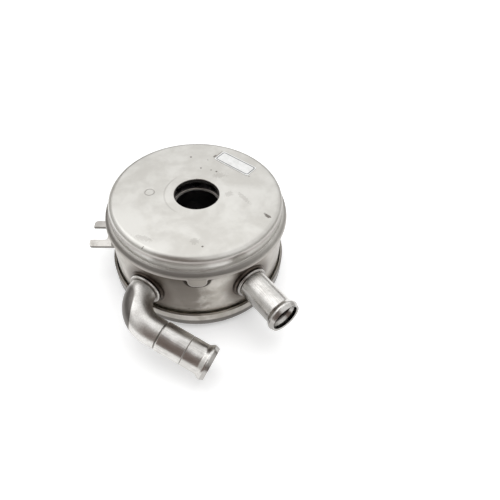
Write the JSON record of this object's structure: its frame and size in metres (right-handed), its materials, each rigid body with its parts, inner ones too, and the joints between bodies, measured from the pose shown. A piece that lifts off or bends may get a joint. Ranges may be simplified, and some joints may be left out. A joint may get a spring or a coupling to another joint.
{
  "type": "engine oil cooler",
  "caption": "Round brazed engine oil cooler with a domed sheet lid, a through bore for its hollow bolt, a straight and an elbowed coolant hose pipe and a locating fork.",
  "frame": {"origin": "on the axis of the centre bore, in the metal mounting face of the base", "axes": "+Z along the centre bore to the lid; the camera of the picture looks along +Y, with the elbow on its left (-X) and the straight pipe on its right (+X)"},
  "size_m": [0.1141, 0.1391, 0.0552],
  "materials": {
    "lid_steel": "satin stainless sheet",
    "jacket_steel": "satin stainless sheet",
    "pipe_steel": "bright drawn stainless tube",
    "bracket_steel": "stamped stainless sheet",
    "core_steel": "brazed stainless sheet",
    "seal_rubber": "moulded rubber",
    "label": "blank white sticker with a thin dark border"
  },
  "bodies": {
    "root": {"lid": "lid_steel", "shell": "jacket_steel", "base_dish": "jacket_steel", "seal_ring": "seal_rubber", "centre_tube": "core_steel", "header_plate": "core_steel", "spacer_ring": "core_steel", "straight_pipe": "pipe_steel", "elbow_pipe": "pipe_steel", "elbow_nipple": "pipe_steel", "locating_fork": "bracket_steel", "blank_label": "label", "core_plate_lower_1": "core_steel", "core_plate_upper_1": "core_steel", "turbulator_1": "core_steel", "core_plate_lower_2": "core_steel", "core_plate_upper_2": "core_steel", "turbulator_2": "core_steel", "core_plate_lower_3": "core_steel", "core_plate_upper_3": "core_steel", "turbulator_3": "core_steel", "core_plate_lower_4": "core_steel", "core_plate_upper_4": "core_steel", "turbulator_4": "core_steel", "core_plate_lower_5": "core_steel", "core_plate_upper_5": "core_steel", "turbulator_5": "core_steel", "port_ring_lower_inlet": "core_steel", "port_ring_lower_outlet": "core_steel", "port_ring_upper_inlet": "core_steel", "port_ring_upper_outlet": "core_steel"}
  },
  "joints": []
}
